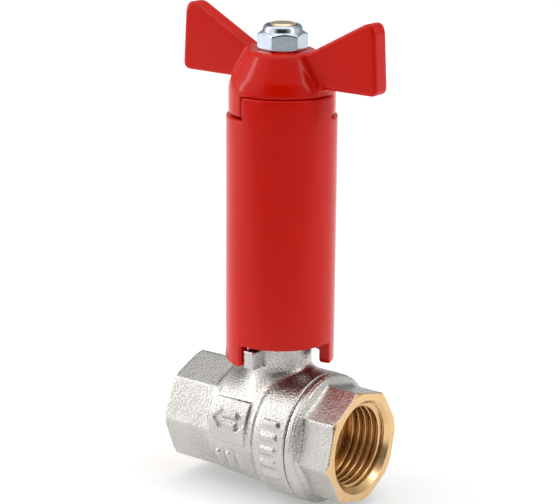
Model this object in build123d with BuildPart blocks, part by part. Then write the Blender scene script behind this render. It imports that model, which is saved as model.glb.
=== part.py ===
from build123d import *
from math import cos, radians, sin
import os

# Quarter-turn ball valve, DN 15 (G 1/2), with a butterfly handle raised on an extension tube.
# X runs along the pipe, Z up the stem. The origin is the lowest point of the barrel, under the
# stem. Heights named *_z are counted from the pipe axis, which lies axis_h above the origin.
# The valve is drawn open: wings and ball bore both lie along the pipe.

# --- Pipe run: body and end connector --------------------------------------------------------
axis_h = 15.4           # pipe axis above the lowest point, which is the barrel's radius
left_end = -24.1        # mouth of the body's own port
right_end = 24.1        # mouth of the connector's port
octagon_flats = 25.5    # across flats of both spanner ends
corner_cut_r = 13.1     # turned cone that trims the octagons' corners at each mouth
corner_cut_rise = 1.4   # how far the cone goes out, and back along the pipe
corner_cut_run = 1.2
port_r = 10.48          # G 1/2 thread, major radius
port_chamfer = 0.65     # lead-in at each mouth
port_depth = 11.0       # mouth to the shoulder inside
flow_r = 7.5            # full bore
joint_x = 12.6          # end of the body, where the connector's flange lands
joint_gap = 0.15        # visible joint between body and flange
joint_thread_r = 13.0   # thread between body and connector
octagon_to_x = -11.0    # where the body's octagon meets the barrel
barrel_from = (-11.2, 13.5)     # x and radius at the ends of the slightly conical barrel
barrel_to = (2.2, 14.3)
barrel_back = (-11.9, 12.6)     # its left edge, rounded in over the octagon
rim_shoulder = (3.0, 15.05)     # point on the arc from barrel to thread rim
rim_x = 4.7             # full radius from here to the joint
rim_edge = 0.25
flange_r = 15.3
flange_face_x = 14.5    # the flange ends here, and a coned face runs down to the octagon
cone_top_x = 14.8
cone_foot = (15.5, 13.4)
octagon_from_x = 15.0
flange_edge = 0.2
nose_edge = 0.5
joint_groove_x = 11.0   # groove for the O-ring behind the connector's thread
joint_groove_r = 11.9
joint_ring = (11.8, 12.45)      # x and radius of the middle of the ring's section
connector_turn = 8.5    # the connector's octagon stops a little past the body's, in degrees
thread_play = 0.02      # radial play of every screwed pair

# --- Ball and seats --------------------------------------------------------------------------
ball_r = 11.2
seat_play = 0.05
pocket_play = 0.3       # end of the connector to the chamber's wall
seat_inner_r = 7.6
seat_outer_r = 10.4
seat_from = 4.7         # seats lie between these distances from the stem axis
seat_to = 9.6
cavity_r = 11.5
nose_x = 5.8            # inner end of the connector, clear of the stem's foot
slot_width = 4.0
slot_z = 8.4
tang_length = 8.0       # short enough to swing between the seats
tang_play = 0.1         # between tang and slot, each side

# --- Stem and its seals ----------------------------------------------------------------------
stem_r = 4.0
stem_bore_r = 4.05
stem_foot_r = 5.5       # blow-out shoulder
stem_foot_z = (11.4, 12.6)
foot_room_r = 5.6
shoulder_z = 13.4       # the body's shoulder above the thrust washer
o_ring_z = (15.2, 17.4)
o_ring_r = 0.55
groove_r = 2.9
groove_width = 1.5
packing_z = 18.8        # floor of the packing chamber
packing_height = 1.6
chamber_r = 6.0
follower_height = 0.8
flat_half = 3.0         # half the width across the stem's two flats
flats_z = (29.0, 31.8)
m6_r = 3.0
stem_top_z = 40.0
stem_point = 0.6        # chamfer at the threaded end

# --- Neck, stop lug and cast marks -----------------------------------------------------------
neck_r = 7.45
neck_top_z = 25.0
neck_foot_z = 5.0       # the neck starts inside the barrel
flare_top_z = 17.5
flare_mid = (8.15, 13.1)        # radius and height on the flare's arc, and at its foot
flare_foot = (10.2, 9.6)
lug_half = 1.5
lug_reach = 12.1
lug_z = (17.0, 21.4)
lug_edge = 0.6
pad_x = (-9.2, 0.8)     # raised panel that follows the barrel, and its radius
pad_r = 14.8
pad_angles = (-4.0, 37.0)       # degrees above the side that faces -Y
pad_root_r = 12.8       # the panel starts inside the barrel
mark_depth = 0.45       # plain double-ended flow arrow sunk in the panel
arrow_shaft = (4.2, 1.1)
arrow_head_r = 1.9
arrow_heads_apart = 5.2

# --- Gland nut -------------------------------------------------------------------------------
gland_flats = 13.0
gland_height = 3.4
gland_play = 0.1

# --- Extension tube --------------------------------------------------------------------------
tube_r = 12.7
tube_bore_r = 10.2
tube_z = (22.4, 75.2)   # full rings of the wall
leg_z = 17.1            # lower ends of the two legs
tab_z = 80.5            # upper ends of the two tabs
leg_start = 9.0         # legs stand from 9 to 81 degrees, and opposite
leg_span = 72.0
leg_corner_r = 1.3
tab_corner_r = 0.7
web_z = (29.0, 32.0)    # inner floor that the stem's flats turn
web_bite = 1.5          # how far the floor runs into the wall
flat_play = 0.05

# --- Extension rod and what holds it ---------------------------------------------------------
washer_r = 6.2
washer_play = 0.2
washer_top_z = 32.8
spring_r = 5.6
spring_play = 0.1
split_width = 0.5       # cut across the spring washer, leaning by split_turn degrees
split_turn = 20
rod_z = (34.0, 83.4)
rod_flats = 9.0
rod_end_z = 96.0
rod_point = 0.4         # chamfer at the threaded end
tapping_spare = 2.0     # thread left beyond the stem

# --- Handle ----------------------------------------------------------------------------------
skirt_r = 12.2
skirt_top_z = 82.9
crown_r = 7.7
crown_z = 90.0
hub_z = 84.0            # underside of the solid hub
hub_edge = 0.8
crown_edge_r = 0.9
key_z = 75.7            # lower ends of the handle's two keys
key_play = 3.5          # degrees between a key and the tube's notch
wing_half = 2.4
wing_tip = 27.2
wing_lean = 0.9
wing_bottom_z = 82.6
wing_slope = 0.533      # rise of the wings' upper edge per millimetre
wing_from = 6.0         # the wings start inside the crown
wing_slope_x = 8.0      # the upper edge leaves the crown's top here
wing_tip_r = 3.2
wing_heel_r = 1.0
wing_edge_r = 0.8

# --- Lock nut, M6 with a nylon insert --------------------------------------------------------
nut_flats = 10.0
nut_height = 5.8
nut_foot = ((5.2, 0.0), (5.9, 0.4))     # radius and height of the turned corners, below
nut_brow = ((5.9, 3.2), (5.0, 4.0))     # and above
collar_top = ((4.5, 4.9), (4.3, 5.6), (3.75, 5.8))      # and of the collar's rounded edge
insert_r = 4.0
insert_z = 94.2         # underside of the nylon ring
insert_gap = 0.6        # its top to the collar's
collar_lip_r = 3.6
collar_lip = 0.5
nut_turn = 42.0         # how the nut happened to stop, in degrees


# Planes and axes that most pieces share.
centre = (0, 0, axis_h)
pipe = Plane(origin=centre, x_dir=(0, 1, 0), z_dir=(1, 0, 0))
section = Plane(origin=centre, x_dir=(1, 0, 0), z_dir=(0, -1, 0))
pipe_axis = Axis(centre, (1, 0, 0))
stem_axis = Axis(centre, (0, 0, 1))


def level(z):
    """A horizontal plane at a height above the pipe axis."""
    return Plane.XY.offset(axis_h + z)


def ring_profile(inner_r, outer_r, low_z, high_z):
    """Section of a ring round the stem axis, for a revolve."""
    with BuildSketch(section) as ring:
        with Locations(((inner_r + outer_r) / 2, (low_z + high_z) / 2)):
            Rectangle(outer_r - inner_r, high_z - low_z)
    return ring.sketch


def ring_sector(inner_r, outer_r, start, span):
    """Flat sector of a ring round the stem axis, with angles in degrees from +X."""
    with BuildSketch() as sector:
        with BuildLine():
            outer = CenterArc((0, 0), outer_r, start, span)
            inner = CenterArc((0, 0), inner_r, start, span)
            Line(outer @ 0, inner @ 0)
            Line(outer @ 1, inner @ 1)
        make_face()
    return sector.sketch


def around_pipe(angle):
    """Section plane through the pipe axis, its upright turned to degrees above -Y."""
    tilt = radians(angle)
    return Plane(origin=centre, x_dir=(1, 0, 0), z_dir=(0, -sin(tilt), -cos(tilt)))


def corner_cut(mouth_x, inward):
    """Section of the turned cone that trims an octagon's corners; inward is +1 or -1 along X."""
    with BuildSketch(section) as cone:
        with BuildLine():
            Polyline((mouth_x, corner_cut_r), (mouth_x, corner_cut_r + corner_cut_rise),
                     (mouth_x + inward * corner_cut_run, corner_cut_r + corner_cut_rise),
                     close=True)
        make_face()
    return cone.sketch


def finish(piece, name):
    """Label a finished piece and write its STEP file."""
    piece.label = name
    export_step(piece, f"parts/{name}.step")


os.makedirs("parts", exist_ok=True)


# --- Valve body: forged shell with one port, the ball chamber and the neck ---------------------
with BuildPart() as valve_body:
    with BuildSketch(pipe.offset(left_end)):
        RegularPolygon(octagon_flats / 2, 8, major_radius=False)
    extrude(amount=octagon_to_x - left_end)
    add(corner_cut(left_end, 1))
    revolve(axis=pipe_axis, mode=Mode.SUBTRACT)
    # Barrel: slightly conical shell, then a rounded shoulder up to the thread rim.
    with BuildSketch(section):
        with BuildLine():
            Polyline(barrel_to, barrel_from, barrel_back, (barrel_back[0], 0), (joint_x, 0),
                     (joint_x, axis_h - rim_edge), (joint_x - rim_edge, axis_h), (rim_x, axis_h))
            ThreePointArc((rim_x, axis_h), rim_shoulder, barrel_to)
        make_face()
    revolve(axis=pipe_axis)
    # Neck, flared where it grows out of the barrel.
    with BuildSketch(section):
        with BuildLine():
            Polyline(flare_foot, (flare_foot[0], neck_foot_z), (0, neck_foot_z), (0, neck_top_z),
                     (neck_r, neck_top_z), (neck_r, flare_top_z))
            ThreePointArc((neck_r, flare_top_z), flare_mid, flare_foot)
        make_face()
    revolve(axis=stem_axis)
    # Stop lug for the tube's legs.
    with BuildSketch(level(lug_z[0])):
        with Locations((0, -(lug_reach + stem_foot_r) / 2)):
            Rectangle(2 * lug_half, lug_reach - stem_foot_r)
    extrude(amount=lug_z[1] - lug_z[0])
    lug_edges = valve_body.edges().filter_by(
        lambda edge: edge.center().Y < -lug_reach + 0.01 and edge.center().Z > axis_h + lug_z[0]
    )
    fillet(lug_edges, lug_edge)
    # Raised panel round the side, with a plain double-ended flow arrow sunk in it.
    pad_middle = (pad_x[0] + pad_x[1]) / 2
    with BuildSketch(around_pipe(pad_angles[1])):
        with Locations((pad_middle, (pad_root_r + pad_r) / 2)):
            Rectangle(pad_x[1] - pad_x[0], pad_r - pad_root_r)
    revolve(axis=pipe_axis, revolution_arc=pad_angles[1] - pad_angles[0])
    arrow_plane = around_pipe((pad_angles[0] + pad_angles[1]) / 2)
    arrow_floor = Plane(origin=arrow_plane.origin + arrow_plane.y_dir * (pad_r - mark_depth),
                        x_dir=(1, 0, 0), z_dir=arrow_plane.y_dir)
    with BuildSketch(arrow_floor):
        with Locations((pad_middle, 0)):
            Rectangle(*arrow_shaft)
            with GridLocations(arrow_heads_apart, 0, 2, 1):
                RegularPolygon(arrow_head_r, 4)
    extrude(amount=2 * mark_depth, mode=Mode.SUBTRACT)
    # Port, seat pocket, ball chamber and joint thread.
    with BuildSketch(section):
        with BuildLine():
            Polyline((left_end, 0), (left_end, port_r + port_chamfer),
                     (left_end + port_chamfer, port_r), (left_end + port_depth, port_r),
                     (left_end + port_depth, flow_r), (-seat_to, flow_r),
                     (-seat_to, seat_outer_r + thread_play), (-nose_x, seat_outer_r + thread_play),
                     (-nose_x, cavity_r), (nose_x - pocket_play, cavity_r),
                     (nose_x - pocket_play, joint_thread_r + thread_play),
                     (joint_x, joint_thread_r + thread_play), (joint_x, 0), close=True)
        make_face()
    revolve(axis=pipe_axis, mode=Mode.SUBTRACT)
    # Stem hole: room for the stem's foot, running bore, packing chamber.
    with BuildSketch(section):
        with BuildLine():
            Polyline((0, 0), (foot_room_r, 0), (foot_room_r, shoulder_z),
                     (stem_bore_r, shoulder_z), (stem_bore_r, packing_z),
                     (chamber_r, packing_z), (chamber_r, neck_top_z), (0, neck_top_z), close=True)
        make_face()
    revolve(axis=stem_axis, mode=Mode.SUBTRACT)
finish(valve_body.part, "valve_body")


# --- End connector: screwed into the body, holds the right seat -------------------------------
with BuildPart() as end_connector:
    with BuildSketch(pipe.offset(octagon_from_x)):
        RegularPolygon(octagon_flats / 2, 8, major_radius=False, rotation=connector_turn)
    extrude(amount=right_end - octagon_from_x)
    add(corner_cut(right_end, -1))
    revolve(axis=pipe_axis, mode=Mode.SUBTRACT)
    flange_x = joint_x + joint_gap
    with BuildSketch(section):
        with BuildLine():
            Polyline((nose_x, 0), (nose_x, joint_thread_r - nose_edge),
                     (nose_x + nose_edge, joint_thread_r), (joint_groove_x, joint_thread_r),
                     (joint_groove_x, joint_groove_r), (flange_x, joint_groove_r),
                     (flange_x, flange_r - flange_edge), (flange_x + flange_edge, flange_r),
                     (flange_face_x, flange_r), (cone_top_x, flange_r - flange_edge), cone_foot,
                     (cone_foot[0], 0), close=True)
        make_face()
    revolve(axis=pipe_axis)
    with BuildSketch(section):
        with BuildLine():
            Polyline((nose_x, 0), (nose_x, seat_outer_r + thread_play),
                     (seat_to, seat_outer_r + thread_play), (seat_to, flow_r),
                     (right_end - port_depth, flow_r), (right_end - port_depth, port_r),
                     (right_end - port_chamfer, port_r), (right_end, port_r + port_chamfer),
                     (right_end, 0), close=True)
        make_face()
    revolve(axis=pipe_axis, mode=Mode.SUBTRACT)
finish(end_connector.part, "end_connector")


# --- Joint O-ring, in the groove behind the connector's thread --------------------------------
with BuildPart() as joint_o_ring:
    with BuildSketch(section):
        with Locations(joint_ring):
            Circle(o_ring_r)
    revolve(axis=pipe_axis)
finish(joint_o_ring.part, "joint_o_ring")


# --- Seat rings: PTFE, hollowed to the ball ----------------------------------------------------
hollow_r = ball_r + seat_play
hollow_mid_r = (seat_inner_r + seat_outer_r) / 2
for side, name in ((-1, "seat_ring_left"), (1, "seat_ring_right")):
    with BuildPart() as seat_ring:
        with BuildSketch(section):
            with BuildLine():
                hollow_start = (side * seat_from, (hollow_r**2 - seat_from**2) ** 0.5)
                hollow_mid = (side * (hollow_r**2 - hollow_mid_r**2) ** 0.5, hollow_mid_r)
                hollow_end = (side * (hollow_r**2 - seat_inner_r**2) ** 0.5, seat_inner_r)
                ThreePointArc(hollow_start, hollow_mid, hollow_end)
                Polyline(hollow_end, (side * seat_to, seat_inner_r), (side * seat_to, seat_outer_r),
                         (side * seat_from, seat_outer_r), hollow_start)
            make_face()
        revolve(axis=pipe_axis)
    finish(seat_ring.part, name)


# --- Ball: full bore, with a slot across its top for the stem ----------------------------------
with BuildPart() as ball:
    with Locations(centre):
        Sphere(ball_r)
    with BuildSketch(pipe.offset(-ball_r)):
        Circle(flow_r)
    extrude(amount=2 * ball_r, mode=Mode.SUBTRACT)
    with BuildSketch(level(slot_z)):
        Rectangle(slot_width, 2 * ball_r)
    extrude(amount=ball_r, mode=Mode.SUBTRACT)
finish(ball.part, "ball")


# --- Stem: tang, blow-out foot, two O-ring grooves, two flats and an M6 end --------------------
with BuildPart() as stem:
    with BuildSketch(section):
        with BuildLine():
            Polyline((0, stem_foot_z[0]), (stem_foot_r, stem_foot_z[0]),
                     (stem_foot_r, stem_foot_z[1]), (stem_r, stem_foot_z[1]),
                     (stem_r, flats_z[1]), (m6_r, flats_z[1]), (m6_r, stem_top_z - stem_point),
                     (m6_r - stem_point, stem_top_z), (0, stem_top_z), close=True)
        make_face()
    revolve(axis=stem_axis)
    with BuildSketch(level(slot_z + 3 * tang_play)):
        Rectangle(slot_width - 2 * tang_play, tang_length)
    extrude(amount=stem_foot_z[0] - slot_z - 3 * tang_play)
    for ring_z in o_ring_z:
        add(ring_profile(groove_r, stem_r, ring_z - groove_width / 2, ring_z + groove_width / 2))
        revolve(axis=stem_axis, mode=Mode.SUBTRACT)
    with BuildSketch(level(flats_z[0])):
        with GridLocations(0, 2 * stem_r, 1, 2):
            Rectangle(2 * stem_r, 2 * (stem_r - flat_half))
    extrude(amount=flats_z[1] - flats_z[0], mode=Mode.SUBTRACT)
finish(stem.part, "stem")


# --- Round seals of the stem: thrust washer, two O-rings, two packing rings, follower ----------
packing_mid_z = packing_z + packing_height
packing_top_z = packing_mid_z + packing_height
follower_top_z = packing_top_z + follower_height
flat_rings = {
    "thrust_washer": (stem_bore_r, stem_foot_r, stem_foot_z[1], shoulder_z),
    "packing_ring_lower": (stem_bore_r, chamber_r - thread_play, packing_z, packing_mid_z),
    "packing_ring_upper": (stem_bore_r, chamber_r - thread_play, packing_mid_z, packing_top_z),
    "packing_follower": (stem_bore_r, chamber_r - thread_play, packing_top_z, follower_top_z),
}
for name, (inner_r, outer_r, low_z, high_z) in flat_rings.items():
    with BuildPart() as flat_ring:
        add(ring_profile(inner_r, outer_r, low_z, high_z))
        revolve(axis=stem_axis)
    finish(flat_ring.part, name)

for name, ring_z in zip(("stem_o_ring_lower", "stem_o_ring_upper"), o_ring_z):
    with BuildPart() as stem_o_ring:
        with BuildSketch(section):
            with Locations((groove_r + o_ring_r + thread_play, ring_z)):
                Circle(o_ring_r)
        revolve(axis=stem_axis)
    finish(stem_o_ring.part, name)


# --- Gland nut: screwed into the neck, presses the packing down --------------------------------
with BuildPart() as gland_nut:
    with BuildSketch(level(neck_top_z)):
        RegularPolygon(gland_flats / 2, 6, major_radius=False)
    extrude(amount=gland_height)
    with BuildSketch(level(follower_top_z)):
        Circle(chamber_r - thread_play)
    extrude(amount=neck_top_z - follower_top_z)
    with BuildSketch(level(follower_top_z)):
        Circle(stem_bore_r + gland_play)
    extrude(amount=neck_top_z + gland_height - follower_top_z, mode=Mode.SUBTRACT)
finish(gland_nut.part, "gland_nut")


# --- Extension tube: red sleeve with legs below, notches above and a floor on the stem's flats --
leg_sector = ring_sector(tube_bore_r, tube_r, leg_start, leg_span)
tab_sector = ring_sector(tube_bore_r, tube_r, leg_start + leg_span, 180 - leg_span)
with BuildPart() as extension_tube:
    with BuildSketch(level(tube_z[0])):
        Circle(tube_r)
        Circle(tube_bore_r, mode=Mode.SUBTRACT)
    extrude(amount=tube_z[1] - tube_z[0])
    with BuildSketch(level(web_z[0])):
        Circle(tube_bore_r + web_bite)
        with BuildSketch(mode=Mode.SUBTRACT):
            Circle(stem_bore_r)
            Rectangle(2 * tube_r, 2 * (flat_half + flat_play), mode=Mode.INTERSECT)
    extrude(amount=web_z[1] - web_z[0])
    for turn in (0, 180):
        with BuildSketch(level(leg_z)):
            with Locations(Rotation(0, 0, turn)):
                add(leg_sector)
        extrude(amount=tube_z[0] - leg_z)
        with BuildSketch(level(tube_z[1])):
            with Locations(Rotation(0, 0, turn)):
                add(tab_sector)
        extrude(amount=tab_z - tube_z[1])
    leg_corners = extension_tube.edges().filter_by(
        lambda edge: edge.length < 2 * (tube_r - tube_bore_r)
        and abs(edge.center().Z - axis_h - leg_z) < 0.01
    )
    fillet(leg_corners, leg_corner_r)
    tab_corners = extension_tube.edges().filter_by(
        lambda edge: edge.length < 2 * (tube_r - tube_bore_r)
        and abs(edge.center().Z - axis_h - tab_z) < 0.01
    )
    fillet(tab_corners, tab_corner_r)
finish(extension_tube.part, "extension_tube")


# --- Washers between the tube's floor and the rod ----------------------------------------------
with BuildPart() as flat_washer:
    add(ring_profile(m6_r + washer_play, washer_r, web_z[1], washer_top_z))
    revolve(axis=stem_axis)
finish(flat_washer.part, "flat_washer")

with BuildPart() as spring_washer:
    add(ring_profile(m6_r + spring_play, spring_r, washer_top_z, rod_z[0]))
    revolve(axis=stem_axis)
    split_at = ((m6_r + spring_r) / 2, 0, axis_h + (washer_top_z + rod_z[0]) / 2)
    with Locations(Location(split_at, (split_turn, 0, 0))):
        Box(spring_r, split_width, spring_r, mode=Mode.SUBTRACT)
finish(spring_washer.part, "spring_washer")


# --- Extension rod: hexagonal brass bar, tapped below and threaded above ------------------------
with BuildPart() as extension_rod:
    with BuildSketch(level(rod_z[0])):
        RegularPolygon(rod_flats / 2, 6, major_radius=False)
    extrude(amount=rod_z[1] - rod_z[0])
    with BuildSketch(section):
        with BuildLine():
            Polyline((0, rod_z[0]), (m6_r, rod_z[0]), (m6_r, rod_end_z - rod_point),
                     (m6_r - rod_point, rod_end_z), (0, rod_end_z), close=True)
        make_face()
    revolve(axis=stem_axis)
    with BuildSketch(level(rod_z[0])):
        Circle(m6_r + thread_play)
    extrude(amount=stem_top_z + tapping_spare - rod_z[0], mode=Mode.SUBTRACT)
finish(extension_rod.part, "extension_rod")


# --- Handle: crown, two wings and two keys that drop into the tube's notches --------------------
wing_from_z = crown_z + wing_slope * (wing_from - wing_slope_x)
wing_top_z = crown_z + wing_slope * (wing_tip - wing_slope_x)
key_sector = ring_sector(tube_bore_r, skirt_r, leg_start + key_play, leg_span - 2 * key_play)
with BuildPart() as handle:
    for side in (-1, 1):
        with BuildSketch(section.offset(-wing_half)):
            with BuildLine():
                Polyline((side * wing_from, wing_bottom_z), (side * wing_tip, wing_bottom_z),
                         (side * (wing_tip - wing_lean), wing_top_z),
                         (side * wing_from, wing_from_z), close=True)
            make_face()
        extrude(amount=2 * wing_half)
    # Round the tips in side view, then soften the wings' long edges.
    tip_edges = handle.edges().filter_by(Axis.Y).filter_by(
        lambda edge: abs(edge.center().X) > wing_tip - 2 * wing_lean
    )
    fillet(tip_edges.group_by(Axis.Z)[-1], wing_tip_r)
    heel_edges = handle.edges().filter_by(Axis.Y).filter_by(
        lambda edge: abs(edge.center().X) > wing_tip - wing_lean
    )
    fillet(heel_edges.group_by(Axis.Z)[0], wing_heel_r)
    face_edges = handle.faces().filter_by(Axis.Y).edges().filter_by(
        lambda edge: abs(edge.center().X) > wing_from + 0.5
    )
    fillet(face_edges, wing_edge_r)
    with BuildSketch(section):
        with BuildLine():
            Polyline((0, tab_z), (skirt_r, tab_z), (skirt_r, skirt_top_z),
                     (crown_r, crown_z), (0, crown_z), close=True)
        make_face()
        cone_corners = vertices().filter_by(lambda v: v.X > m6_r and v.Z > axis_h + tab_z + 1)
        fillet(cone_corners, crown_edge_r)
    revolve(axis=stem_axis)
    with BuildSketch(section):
        with BuildLine():
            Polyline((0, tab_z), (tube_bore_r, tab_z), (tube_bore_r, hub_z - hub_edge),
                     (tube_bore_r - hub_edge, hub_z), (0, hub_z), close=True)
        make_face()
    revolve(axis=stem_axis, mode=Mode.SUBTRACT)
    with BuildSketch(level(hub_z)):
        Circle(m6_r + washer_play)
    extrude(amount=crown_z - hub_z, mode=Mode.SUBTRACT)
    for turn in (0, 180):
        with BuildSketch(level(key_z)):
            with Locations(Rotation(0, 0, turn)):
                add(key_sector)
        extrude(amount=tab_z - key_z)
finish(handle.part, "handle")


# --- Lock nut and its nylon insert --------------------------------------------------------------
nut_top_z = crown_z + nut_height
nut_outline = [(r, crown_z + z) for r, z in nut_foot + nut_brow]
collar_arc = [(r, crown_z + z) for r, z in collar_top]
with BuildPart() as lock_nut:
    with BuildSketch(level(crown_z)):
        RegularPolygon(nut_flats / 2, 6, major_radius=False, rotation=nut_turn)
    extrude(amount=nut_height)
    # Turned corners below and above the hexagon, then the domed collar.
    with BuildSketch(section):
        with BuildLine():
            Polyline((0, crown_z), *nut_outline, collar_arc[0])
            ThreePointArc(*collar_arc)
            Polyline(collar_arc[-1], (0, nut_top_z), (0, crown_z))
        make_face()
    revolve(axis=stem_axis, mode=Mode.INTERSECT)
    with BuildSketch(section):
        with BuildLine():
            Polyline((0, crown_z), (m6_r + thread_play, crown_z), (m6_r + thread_play, insert_z),
                     (insert_r, insert_z), (insert_r, nut_top_z - collar_lip),
                     (collar_lip_r, nut_top_z - collar_lip), (collar_lip_r, nut_top_z),
                     (0, nut_top_z), close=True)
        make_face()
    revolve(axis=stem_axis, mode=Mode.SUBTRACT)
finish(lock_nut.part, "lock_nut")

with BuildPart() as nut_insert:
    add(ring_profile(m6_r + thread_play, insert_r - thread_play, insert_z, nut_top_z - insert_gap))
    revolve(axis=stem_axis)
finish(nut_insert.part, "nut_insert")
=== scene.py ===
import math
import bpy
import numpy as np
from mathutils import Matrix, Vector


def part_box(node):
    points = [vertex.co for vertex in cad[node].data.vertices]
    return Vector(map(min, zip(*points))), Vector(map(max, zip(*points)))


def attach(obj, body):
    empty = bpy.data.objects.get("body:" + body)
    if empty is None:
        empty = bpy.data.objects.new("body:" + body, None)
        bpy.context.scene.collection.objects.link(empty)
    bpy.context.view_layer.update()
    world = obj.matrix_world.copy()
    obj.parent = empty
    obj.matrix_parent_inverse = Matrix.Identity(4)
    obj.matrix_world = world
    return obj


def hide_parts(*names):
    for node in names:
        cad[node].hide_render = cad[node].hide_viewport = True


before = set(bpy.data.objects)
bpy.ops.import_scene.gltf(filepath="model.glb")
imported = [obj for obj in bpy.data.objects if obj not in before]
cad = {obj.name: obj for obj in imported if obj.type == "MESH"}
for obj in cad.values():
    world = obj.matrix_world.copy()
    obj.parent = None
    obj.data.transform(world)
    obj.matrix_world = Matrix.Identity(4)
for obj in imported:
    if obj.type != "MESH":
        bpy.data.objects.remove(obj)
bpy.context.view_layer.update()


# ---- Valve body ------------------------------------------------------------------------------
# One forging of brass: spanner octagon, barrel with a raised panel, thread rim, neck, stop lug.
# It is stamped hot, bored on a lathe, sand-blasted and nickel plated, so its edges are soft.
MM = 0.001
BALL_R = 11.2
AXIS_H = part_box("ball")[0].z / MM + BALL_R      # pipe axis above the lowest point
BODY_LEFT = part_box("valve_body")[0].x / MM
BODY_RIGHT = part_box("valve_body")[1].x / MM
OCTAGON_FLATS, OCTAGON_CORNER = 25.5, 0.8
OCTAGON_TO = -10.0                              # the octagon has run into the barrel here
CUT_R, CUT_SLOPE = 13.1, 1.4 / 1.2              # turned cone that trims the octagon's corners
BARREL_FROM, BARREL_TO = -11.6, 4.0
CONE_FROM, CONE_R, CONE_GROWTH = -11.2, 13.45, 0.062
RIM_FROM, RIM_R = 2.5, AXIS_H
NECK_FROM, NECK_TOP, NECK_R = 5.0, 25.0, 7.45
FLARE_TOP, FLARE_H, FLARE_R = 17.5, 8.0, 2.9    # the neck widens by FLARE_R in this height
LUG = (-1.5, -12.1, 17.0), (1.5, -5.0, 21.4)
PANEL_R, PANEL_TURN = 14.8, 16.5                # the panel's middle, in degrees above level
PANEL_FROM, PANEL_TO, PANEL_HALF = -9.2, 0.8, 5.3
ARROW_X, ARROW_DEPTH = -4.2, 0.6
SHAFT_HALF, SHAFT_HALF_W, ARROW_REACH = 2.1, 0.55, 4.5
PORT_R, PORT_DEPTH, FLOW_R = 10.48, 11.0, 7.5
MOUTH_R = 11.13                                 # of the 45 degree lead-in
BARE = 0.08                                     # thickness cut to bare brass at each mouth
LINING = 0.06                                   # thickness of the lining's wall
SEAT_POCKET_R, SEAT_POCKET = 10.42, 9.6         # seat's pocket and its distance from the stem
CHAMBER_R, JOINT_BORE_R = 11.5, 13.02
FOOT_BORE_R, FOOT_BORE_TOP = 5.6, 13.4          # room for the stem's foot
STEM_BORE_R = 4.05
PACKING_BORE_R, PACKING_BORE_LOW = 6.0, 18.8


def blend_min(a, b, width):
    """The lower of two fields, with a fillet where they are within width of each other."""
    gap = np.maximum(width - np.abs(a - b), 0.0) / width
    return np.minimum(a, b) - gap**2 * width / 4


def blend_max(a, b, width):
    """The higher of two fields, with the edge rounded off over width."""
    return -blend_min(-a, -b, width)


def rounded_box(x, y, z, low, high, corner):
    """Distance to a box with rounded edges: the distance to a smaller box, less the radius."""
    sides = []
    for value, a, b in zip((x, y, z), low, high):
        sides.append(np.abs(value - (a + b) / 2) - ((b - a) / 2 - corner))
    outside = np.sqrt(sum(np.maximum(s, 0.0) ** 2 for s in sides))
    return outside + np.minimum(np.maximum.reduce(sides), 0.0) - corner


def polygon_bar(u, v, count, flats, corner, turn):
    """Distance to an endless bar of count sides, with a corner at turn degrees. The plane is folded
    on to half a side, and the nearest point there is on an edge shorter by the corner radius."""
    sector = 2 * math.pi / count
    angle = np.arctan2(v, u) - math.radians(turn) - sector / 2
    folded = angle - sector * np.round(angle / sector)
    radius = np.hypot(u, v)
    inner = flats / 2 - corner
    along = np.abs(radius * np.sin(folded)) - inner * math.tan(sector / 2)
    away = radius * np.cos(folded) - inner
    round_part = np.hypot(np.maximum(along, 0.0), np.maximum(away, 0.0))
    return np.where(away > 0, round_part, away) - corner


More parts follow.
